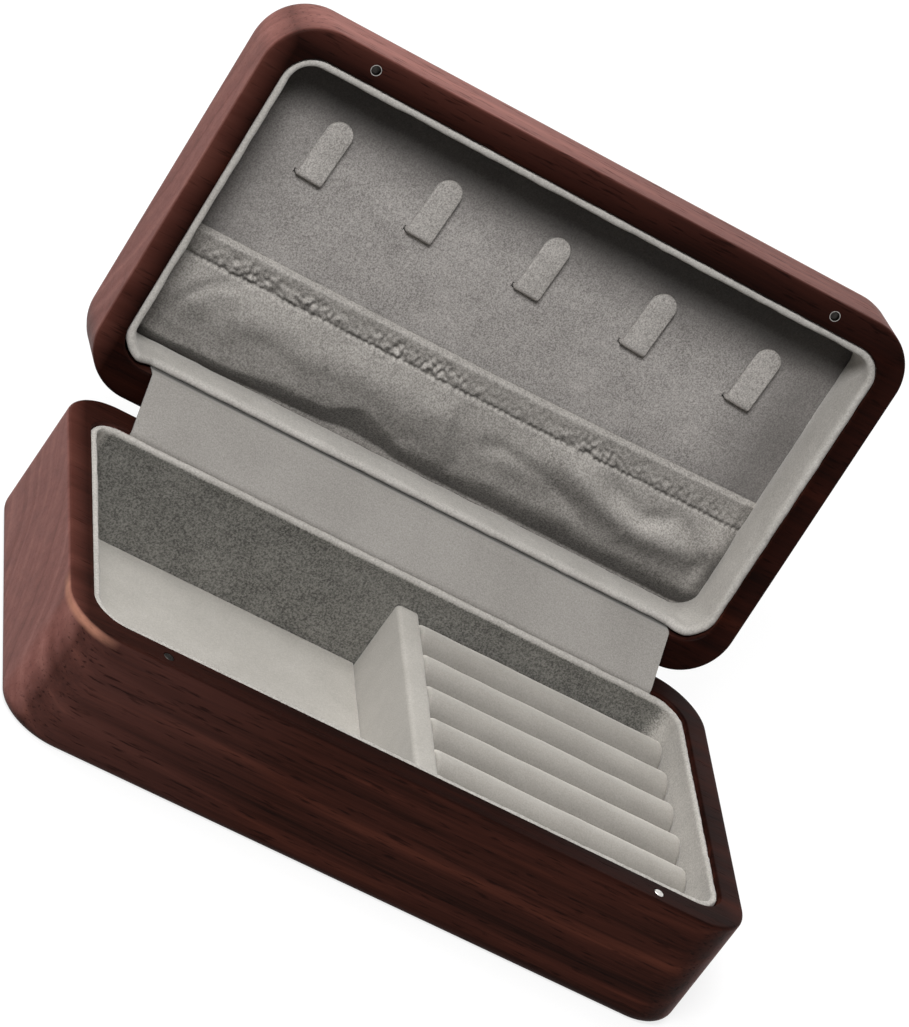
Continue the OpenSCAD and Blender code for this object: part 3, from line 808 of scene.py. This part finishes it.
# Darker copies of the same plating, as painted shade.
half_shaded_nickel = metal("nickel_half_shaded", display(168, 164, 160), display(104, 100, 96), 0.3)
shaded_nickel = metal("nickel_shaded", display(52, 50, 48), display(22, 21, 20), 0.36)
pin_edge, pin_sides, cup_recess = 0.0003, 40, 0.00005


def magnet(name, low, high):
    """A short round pin with both ends chamfered."""
    return turned_bar(name, ((low.x + high.x) / 2, (low.y + high.y) / 2, 0),
                      [(magnet_r - pin_edge, low.z), (magnet_r, low.z + pin_edge),
                       (magnet_r, high.z - pin_edge), (magnet_r - pin_edge, high.z)], pin_sides)


def cup_magnet(name, low, high):
    """A pin in a thin cup that reaches up to the lid's rim, painted dark on its inner face and grey on the
    cup, as painted shade.
    """
    middle = Vector(((low.x + high.x) / 2, (low.y + high.y) / 2, 0))
    mouth = lid_rim + cup_recess
    made = turned_bar(name, middle, [(magnet_r - pin_edge, high.z), (magnet_r, high.z - pin_edge),
                                     (magnet_r, mouth), (magnet_r * 0.88, mouth),
                                     (magnet_r * 0.84, low.z + 0.0001), (magnet_r * 0.7, low.z)], pin_sides)
    made.data.materials.append(half_shaded_nickel)
    made.data.materials.append(shaded_nickel)
    for face in made.data.polygons:
        inside = (middle.xy - face.center.xy).length < magnet_r * 0.87
        face.material_index = 1 if inside and face.center.z < (low.z + high.z) / 2 else 0
    return made


for end in ("left", "right"):
    low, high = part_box(f"base_magnet_{end}")
    base_magnet = magnet(f"base_magnet_{end}_nickel", low, high)
    sunk = Vector((0, 0, lid_rim + magnet_sunk - low.z))
    lid_magnet = swing_open(cup_magnet(f"lid_magnet_{end}_nickel", low + sunk, high + sunk))
    # Painted shade: the left magnet in the base takes the dark copy of the plating.
    base_magnet.data.materials.append(nickel if end == "right" else shaded_nickel)
    for made, body in ((base_magnet, "base"), (lid_magnet, "lid")):
        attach(made, body)
        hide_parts(f"{body}_magnet_{end}")

# Lid lining. The same padded band as in the base, but fuller. It is glued round
# the lid's hollow between the panel and the rim, and dips where the strip passes.
lid_lining_recess, cover_recess, lid_fullness = 0.0006, 0.0035, 0.0012
panel_t = 0.002
panel_z = roof_z - glue_gap - panel_t
lid_lining = lining_band("lid_lining_velvet", panel_z - glue_gap, lid_rim + lid_lining_recess,
                         cover_recess - lid_lining_recess, lid_fullness)
uneven(lid_lining, 150, 0.00018)
swing_open(lid_lining)
lid_lining.data.materials.append(velvet("velvet_lid_walls", display(218, 214, 208), display(160, 156, 150),
                                        nap=2000, contrast=0.6, sheen=0.4))
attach(lid_lining, "lid")
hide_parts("lid_lining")

# Lid panel. A board covered with mid-grey velvet that fills the lid's roof,
# with a narrow slit for the foot of each hook tab.
# Painted shade along the panel's sides and far edge.
shaded_sides, shaded_far = (0.064, 0.084), (-0.021, -0.034)
grey_velvet = velvet("velvet_grey", display(204, 199, 195), display(118, 114, 111), contrast=0.78,
                     sheen=0.12, painted_edge_shade=(shaded_sides, shaded_far))
panel_rings = [round_outline(lining_low.x + i, lining_high.x - i, lining_low.y + i,
                             case_high.y - wall_rear - glue_gap - i, lining_r - i, z)
               for i, z in ((0.0003, roof_z - glue_gap), (0, roof_z - glue_gap - 0.0003),
                            (0, panel_z + 0.0004), (0.0001, panel_z + 0.0001), (0.0004, panel_z))]
lid_panel = loft("lid_panel_velvet", panel_rings)
hook_pitch, hook_w, hook_t, hook_len = 0.0342, 0.0078, 0.0011, 0.0186
hook_gap, hook_foot, hook_fit = 0.0015, 0.014, 0.0004
hook_count, hook_shift = 5, 0.0011
slits = []
for n in range(hook_count):
    x = (n - (hook_count - 1) / 2) * hook_pitch + hook_shift
    half = hook_w / 2 + hook_fit
    slits.append(block("slit", (x - half, -hook_foot - hook_t - hook_fit / 2, panel_z - 0.001),
                       (x + half, -hook_foot + hook_fit / 2, roof_z - 0.0002)))
cut(lid_panel, slits)
swing_open(lid_panel)
lid_panel.data.materials.append(grey_velvet)
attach(lid_panel, "lid")
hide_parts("lid_panel")

# Hook tabs. Five stiff tongues of card wrapped in velvet. The foot of each is
# bent into its slit, a little askew, and a necklace hangs behind its round tip.
tab_edge, tab_steps = 0.00045, 8


def tab_rings():
    """Rings along a tab's middle line, from its round tip to its foot in the panel."""
    rings = []
    tip = hook_w / 2
    level = panel_z - hook_gap - hook_t / 2
    bend_r = hook_t / 2 + 0.0002
    stations = [(-hook_foot - hook_len + tip * (1 - math.cos(a)) + 0.00002, tip * math.sin(a))
                for a in (math.pi / 2 * k / 12 for k in range(1, 13))]
    line = [(Vector((y, level)), half, Vector((0, -1))) for y, half in stations]
    flat_start, flat_end = stations[-1][0], -hook_foot - hook_t / 2 - bend_r
    line += [(Vector((flat_start + (flat_end - flat_start) * k / tab_steps, level)), tip, Vector((0, -1)))
             for k in range(1, tab_steps + 1)]
    for k in range(1, tab_steps + 1):
        a = math.pi / 2 * k / tab_steps
        line.append((Vector((flat_end + bend_r * math.sin(a), level + bend_r * (1 - math.cos(a)))), tip,
                     Vector((math.sin(a), -math.cos(a)))))
    line.append((Vector((flat_end + bend_r, roof_z - glue_gap - 0.0003)), tip, Vector((1, 0))))
    for middle, half, out in line:
        ring = []
        edge = min(tab_edge, half * 0.9)
        for sx, so, turn in ((-1, -1, 180), (1, -1, 270), (1, 1, 0), (-1, 1, 90)):
            for k in range(4):
                a = math.radians(turn + 30 * k)
                x = sx * (half - edge) + edge * math.cos(a)
                away = so * (hook_t / 2 - edge) + edge * math.sin(a)
                ring.append(Vector((x, middle.x + out.x * away, middle.y + out.y * away)))
        rings.append(ring)
    return rings


hook_tabs = loft("hook_tabs_velvet", tab_rings())
hook_tabs.data.transform(Matrix.Translation((0, hook_foot, 0)))
tab_tree, start, size = new_tree("row_of_tabs", {
    "Tabs": "NodeSocketInt", "Pitch": "NodeSocketFloat", "First": "NodeSocketVector",
    "Askew": "NodeSocketFloat", "Seed": "NodeSocketInt", "Velvet": "NodeSocketMaterial"})
step = start.node("ShaderNodeCombineXYZ", {}, {"X": size["Pitch"]})
row = start.node("GeometryNodeMeshLine", {}, {"Count": size["Tabs"], "Start Location": size["First"],
                                              "Offset": step})
askew = start.node("FunctionNodeRandomValue", {"data_type": "FLOAT"},
                   {2: size["Askew"] * 0.3, 3: size["Askew"], "Seed": size["Seed"]}, out=1)
turn = start.node("ShaderNodeCombineXYZ", {}, {"Z": askew})
tabs = start.node("GeometryNodeInstanceOnPoints", {}, {"Points": row, "Instance": start, "Rotation": turn})
tabs = start.node("GeometryNodeRealizeInstances", {}, {"Geometry": tabs})
tabs = start.node("GeometryNodeSetMaterial", {}, {"Geometry": tabs, "Material": size["Velvet"]})
start.node("NodeGroupOutput", {}, {"Geometry": tabs})
tab_velvet = velvet("velvet_tabs", display(214, 209, 204), display(132, 128, 124), contrast=0.8, sheen=0.2)
first_foot = (hook_shift - hook_pitch * (hook_count - 1) / 2, -hook_foot, 0)
swing_open(grow(hook_tabs, tab_tree, {"Tabs": hook_count, "Pitch": hook_pitch, "First": first_foot,
                                      "Askew": math.radians(3.4), "Seed": 3, "Velvet": tab_velvet}))
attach(hook_tabs, "lid")
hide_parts(*[f"hook_tab_{n}" for n in range(1, hook_count + 1)])

# Pocket. A slack piece of plush across the lower part of the panel, gathered
# under its hem by the elastic and glued down along the hinge side.
pocket_mouth, hem_w, hem_t, pocket_t = 0.0096, 0.0046, 0.0019, 0.0008
seam_y, stitch_pitch = 0.0178, 0.0018
mouth_rise, seam_rise, rise_at = 0.0016, 0.0006, 0.086
pocket_bulge, pocket_creases = 0.003036, 0.0013
gather_height, gather_run = 0.00085, 0.0062
pocket_rear = room_high.y - glue_gap
pocket_rows, pocket_columns = 96, 430


def share_of(value, whole):
    """A value as a share of a whole, held between 0 and 1."""
    return min(1, max(0, value / whole))


def mouth_at(x):
    """The mouth's edge rises a little to the right."""
    return pocket_mouth - mouth_rise * max(0, x / rise_at) ** 1.2


def pocket_half(y):
    """Half the pocket's width at y: it follows the lining's round corners."""
    r = room_r - glue_gap
    past = max(0, y - pocket_rear + r)
    return room_high.x - room_r + math.sqrt(max(0, r * r - past * past))


def swell(x, middle, width):
    """A soft round swell of height 1 about a middle."""
    return math.exp(-((x - middle) / width) ** 2)


def fold(x, y, line, width):
    """A soft fold of height 1 along a bent line, fading out at both of its ends."""
    best, along = 1.0, 0.0
    spans = len(line) - 1
    for k in range(spans):
        (ax, ay), (bx, by) = line[k], line[k + 1]
        ex, ey = bx - ax, by - ay
        t = share_of((x - ax) * ex + (y - ay) * ey, ex * ex + ey * ey)
        gap = math.hypot(x - ax - t * ex, y - ay - t * ey)
        if gap < best:
            best, along = gap, (k + t) / spans
    return math.exp(-(best / width) ** 2) * min(1, 4.5 * along, 4.5 * (1 - along))


def under(x, y, line, run):
    """How far a place lies below a bent line that runs to the right, from 0 to 1."""
    if not line[0][0] < x < line[-1][0]:
        return 0.0
    k = max(k for k in range(len(line) - 1) if line[k][0] <= x)
    share = (x - line[k][0]) / (line[k + 1][0] - line[k][0])
    share = share * share * (3 - 2 * share)
    gap = max(0, y - line[k][1] - (line[k + 1][1] - line[k][1]) * share)
    ends = min(1, (x - line[0][0]) / 0.018, (line[-1][0] - x) / 0.012)
    return (1 - math.exp(-(gap / run) ** 1.6)) * ends


hollow_depth, hollow_run = 0.0034, 0.0058
hollow_line = [(-0.062, 0.0430), (-0.045, 0.0405), (-0.032, 0.0378), (-0.0215, 0.0335), (-0.012, 0.0362),
               (-0.003, 0.0405), (0.010, 0.0440)]
ridge_line = [(0.026, 0.0190), (0.040, 0.0225), (0.050, 0.0275), (0.061, 0.0300), (0.074, 0.0295),
              (0.086, 0.0275)]
valley_line = [(0.046, 0.0185), (0.055, 0.0235), (0.0635, 0.0260), (0.070, 0.0235), (0.0725, 0.0180)]
low_line = [(0.008, 0.0290), (0.019, 0.0262), (0.032, 0.0280), (0.044, 0.0320), (0.052, 0.0365)]
left_line = [(-0.067, 0.0195), (-0.0735, 0.0215), (-0.0785, 0.0255), (-0.0815, 0.0315)]
right_line = [(0.072, 0.0200), (0.079, 0.0240), (0.084, 0.0290), (0.086, 0.0360)]
drop_line = [(0.004, 0.0195), (0.0045, 0.0260), (0.0075, 0.0350), (0.010, 0.0400)]
folds = [(0.0014, 0.0038, ridge_line), (-0.0009, 0.0027, valley_line), (-0.0005, 0.0022, low_line),
         (-0.0005, 0.0018, left_line), (-0.0008, 0.0022, right_line)]
bunches = [(-0.067, 0.008), (-0.049, 0.008), (-0.024, 0.007), (-0.008, 0.008), (0.043, 0.008)]


def pocket_height(x, y):
    """How far the slack fabric stands off the panel."""
    past = y - mouth_at(x)
    seam = seam_y - seam_rise * max(0, x / rise_at) + 0.0002 * noise.noise(Vector((x * 160, 3.0, 1.0)))
    lip = share_of(past, 0.0015)
    height = (hem_t + pocket_t) * math.sqrt(1 - (1 - lip) ** 2) - 0.0004 * share_of(past - 0.002, 0.005)
    down = share_of(y - seam, pocket_rear - seam)
    belly = math.sin(math.pi * min(1, down / 0.44) * 0.5) ** 1.1
    belly *= 1 - 0.45 * max(0, (down - 0.22) / 0.78) ** 1.2
    height += belly * pocket_bulge
    wander = (noise.noise(Vector((x * 34, y * 50, 1.7))) * 0.8
              + noise.noise(Vector((x * 90, y * 110, 4.1))) * 0.35
              + noise.noise(Vector((x * 210, y * 240, 9.4))) * 0.10)
    height += wander * belly * pocket_creases
    bunched = 0.32 + 0.3 * max(0, noise.noise(Vector((x * 84, 1.3, 5.0))))
    bunched += 0.75 * max(swell(x, middle, width) for middle, width in bunches)
    gather = (0.7 * noise.noise(Vector((x * 560 + y * 160, y * 260, 7.3)))
              + noise.noise(Vector((x * 980 - y * 300, y * 620, 2.2))))
    kept = share_of(y - seam + gather_run, 0.0035) if y < seam else 0.4 * math.exp(-(y - seam) / 0.0022)
    height += gather * gather_height * bunched * kept
    stitch = 0.6 + 0.4 * math.sin(2 * math.pi * x / stitch_pitch)
    height -= 0.0006 * stitch * math.exp(-((y - seam) / 0.00055) ** 2)
    height -= hollow_depth * under(x, y, hollow_line, hollow_run)
    height += sum(rise * fold(x, y, line, width) for rise, width, line in folds)
    if y > seam:
        height -= 0.0010 * share_of(x - 0.001, 0.008) * math.exp(-max(0, x - 0.009) / 0.022) * belly
        height -= 0.0004 * fold(x, y, drop_line, 0.0024)
    reach = 0.0066 + 0.0022 * swell(x, 0.036, 0.036) + 0.0014 * noise.noise(Vector((x * 60, 2.0, 6.0)))
    reach -= 0.0030 * swell(x, -0.078, 0.020)
    height *= 1 - (1 - share_of(pocket_rear - y, reach)) ** 2
    beside = max(0.0, 1 - (pocket_half(y) - abs(x)) / 0.005)
    return max(0.0009, height * (1 - 0.4 * beside ** 2))


pocket_points = []
pocket_faces = []
for j in range(pocket_rows + 1):
    down = (j / pocket_rows) ** 1.2
    for i in range(pocket_columns + 1):
        across = 2 * i / pocket_columns - 1
        y = mouth_at(across * rise_at)
        y += (pocket_rear - y) * down
        x = across * pocket_half(y)
        pocket_points.append((x, y, panel_z - pocket_height(x, y)))
for j in range(pocket_rows):
    for i in range(pocket_columns):
        k = j * (pocket_columns + 1) + i
        pocket_faces.append((k, k + 1, k + pocket_columns + 2, k + pocket_columns + 1))
pocket_mesh = bpy.data.meshes.new("pocket_plush")
pocket_mesh.from_pydata(pocket_points, [], pocket_faces)
pocket = add_object("pocket_plush", pocket_mesh)
thicken = pocket.modifiers.new("thickness", "SOLIDIFY")
thicken.thickness, thicken.offset = pocket_t, 1
bake_modifiers(pocket)
finish_mesh(pocket, 60)
# Painted shade and light: faces that turn away from the lamps get the darker colours, and the hem's crest and
# the stretch above the seam are painted lighter.
pocket_light_part = pocket.data.attributes.new("pale", "FLOAT", "POINT")
for vertex, own in zip(pocket.data.vertices, pocket_light_part.data):
    painted_shading = vertex.normal * -1 if vertex.normal.z > 0 else vertex.normal
    past = vertex.co.y - mouth_at(vertex.co.x)
    crest = 0.62 * max(0, 1 - past / 0.0018) + 0.26 * share_of(seam_y - vertex.co.y, 0.003)
    own.value = min(1, max(0, 0.43 + crest - 0.52 * painted_shading.x - 0.95 * painted_shading.y))
swing_open(pocket)
plush = velvet("velvet_plush", display(118, 115, 111), display(58, 56, 54), nap=2100, mottle=0.20,
               contrast=0.78, relief=0.0002, sheen=0.25, soft_edge=True,
               pale=(display(134, 130, 125), display(214, 209, 203)))
pocket.data.materials.append(plush)
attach(pocket, "lid")
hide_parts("pocket")

# Hem and elastic. The mouth of the pocket is turned over into a flat tube, and
# a band of elastic inside it pulls the fabric into short gathers.
hem_rings = []
hem_steps, hem_sides = 364, 20
hem_under = 0.0007
hem_half = room_high.x - glue_gap
for k in range(hem_steps + 1):
    x = hem_half * (2 * k / hem_steps - 1)
    wave = (noise.noise(Vector((x * 300, 3.1, 0))) * 0.00022
            + noise.noise(Vector((x * 90, 9.4, 0))) * 0.00016)
    puff = noise.noise(Vector((x * 380, 0, 5.5))) * 0.12
    ring = []
    for s in range(hem_sides):
        a = 2 * math.pi * s / hem_sides
        across = math.copysign(abs(math.cos(a)) ** 0.8, math.cos(a)) * (hem_w / 2 - hem_under)
        thick = math.sin(a) * (hem_t - hem_under) / 2 * (1 + puff)
        ring.append(Vector((x, mouth_at(x) + hem_w / 2 + across + wave,
                            panel_z - glue_gap - (hem_t - hem_under) / 2 + thick)))
    hem_rings.append(ring)
pocket_hem = swing_open(loft("pocket_hem_plush", hem_rings))
pocket_hem.data.materials.append(plush)
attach(pocket_hem, "lid")
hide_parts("pocket_hem")
elastic_material, start = new_material("woven_elastic")
ribs = speckle(object_place(start) * (1, 8, 1), 700, 1)
surface(start, {"Base Color": mix(ribs, display(70, 70, 70), display(100, 100, 98)),
                "Roughness": 0.7 + ribs * 0.2})
repaint("pocket_elastic", elastic_material)

# Hinges. Two small brass butt hinges behind the strip: a leaf let into each
# rim, three knuckles on a pin, and two countersunk slotted screws in each leaf.
brass = metal("aged_brass", display(205, 170, 104), display(150, 116, 66), 0.3)
brass_edge = 0.00008


def bevelled_copy(node, name, width):
    """A copy of a carried-over piece with its edges broken, as a maker would."""
    made = add_object(name, frame["nodes"][node].data.copy())
    made.data.materials.clear()
    work = bmesh.new()
    work.from_mesh(made.data)
    bmesh.ops.remove_doubles(work, verts=work.verts, dist=1e-6)
    bmesh.ops.dissolve_limit(work, angle_limit=math.radians(2), verts=work.verts, edges=work.edges)
    work.to_mesh(made.data)
    work.free()
    edge = made.modifiers.new("edge", "BEVEL")
    edge.width, edge.segments, edge.limit_method, edge.angle_limit = width, 2, "ANGLE", math.radians(40)
    bake_modifiers(made)
    made.data.polygons.foreach_set("use_smooth", [True] * len(made.data.polygons))
    made.data.set_sharp_from_angle(angle=math.radians(35))
    return made


hinge_pieces = [(f"hinge_{end}_{part}", body) for end in ("left", "right")
                for part, body in (("base_leaf", "base"), ("lid_leaf", "lid"), ("pin", "base"))]
for node, body in hinge_pieces + [("hinge_base_screws", "base"), ("hinge_lid_screws", "lid")]:
    made = bevelled_copy(node, f"{node}_brass", brass_edge)
    made.data.materials.append(brass)
    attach(made, body)
    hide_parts(node)

# Cover strip. A band of suede glued down behind both linings on the hinge side.
# It hides the hinges, and taut between the rims it holds the lid open.
strip_low, strip_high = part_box("hinge_cover")
strip_t = 0.0005
strip_half = (strip_high.x - strip_low.x) / 2
strip_tuck, strip_behind = 0.009, 0.0003
strip_drift, strip_sag = 0.0006, 0.00022
strip_step, strip_columns = 0.0006, 160
strip_y = case_high.y - wall_rear - strip_behind - strip_t / 2


def opened_point(y, z):
    """The y and z of a place in the shut lid, once the lid is open."""
    place = swung_open @ Vector((0, y, z))
    return Vector((place.y, place.z))


strip_line = [Vector((strip_y, case_high.z - strip_tuck)), Vector((strip_y, case_high.z + rim_gap / 2)),
              opened_point(strip_y, lid_rim - rim_gap / 2), opened_point(strip_y, lid_rim + strip_tuck)]
strip_path = []
for here, there in zip(strip_line, strip_line[1:]):
    pieces = max(1, round((there - here).length / strip_step))
    strip_path += [here.lerp(there, k / pieces) for k in range(pieces)]
strip_path.append(strip_line[-1])
soft_path = [strip_path[0]]
for k in range(1, len(strip_path) - 1):
    soft_path.append((strip_path[k - 1] + strip_path[k] * 2 + strip_path[k + 1]) / 4)
soft_path.append(strip_path[-1])
strip_rings = []
for k in range(strip_columns + 1):
    x = strip_half * (2 * k / strip_columns - 1) + strip_drift
    ring = []
    for side in (1, -1):
        spots = list(enumerate(soft_path))
        for n, spot in spots if side == 1 else reversed(spots):
            ahead = soft_path[min(n + 1, len(soft_path) - 1)] - soft_path[max(n - 1, 0)]
            out = Vector((-ahead.y, ahead.x)).normalized()
            free = max(0.0, math.sin(math.pi * n / (len(soft_path) - 1))) ** 2
            sag = noise.noise(Vector((x * 30, n * 0.05, 3.0))) * strip_sag * free
            place = spot + out * (side * strip_t / 2 + sag)
            ring.append(Vector((x, place.x, place.y)))
    strip_rings.append(ring)
hinge_cover = loft("hinge_cover_suede", strip_rings)
entry, tuck_shade = opened_point(strip_y, lid_rim + cover_recess), 0.0022
# Painted shadow: the strip is darkened where it passes under the lid lining's edge.
tucked_part = hinge_cover.data.attributes.new("tucked", "FLOAT", "POINT")
for vertex, own in zip(hinge_cover.data.vertices, tucked_part.data):
    own.value = max(0, 1 - (vertex.co.yz - entry).length / tuck_shade)
suede, start = new_material("suede")
suede_nap = speckle(object_place(start), 2600, 3, 0.6)
suede_rub = speckle(object_place(start), 40, 3)
tone = spread(suede_nap, 0.3, 0.7) * 0.7 + spread(suede_rub, 0.3, 0.7) * 0.3
tucked = start.node("ShaderNodeAttribute", {"attribute_name": "tucked"}, out=2)
# Painted shadow near the lining's edge.
shaded = spread(tucked + (suede_nap - 0.5) * 0.7, 0.2, 0.75) * 0.8
suede_colour = mix(tone, display(134, 130, 125), display(172, 168, 163))
surface(start, {"Base Color": mix(shaded, suede_colour, display(26, 24, 23)),
                "Roughness": 0.82 + suede_nap * 0.1, "Normal": bumped(suede_nap, 0.4, 0.00005),
                "Specular IOR Level": 0.1, "Sheen Weight": 0.2, "Sheen Roughness": 0.5})
hinge_cover.data.materials.append(suede)
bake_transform(hinge_cover)
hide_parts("hinge_cover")
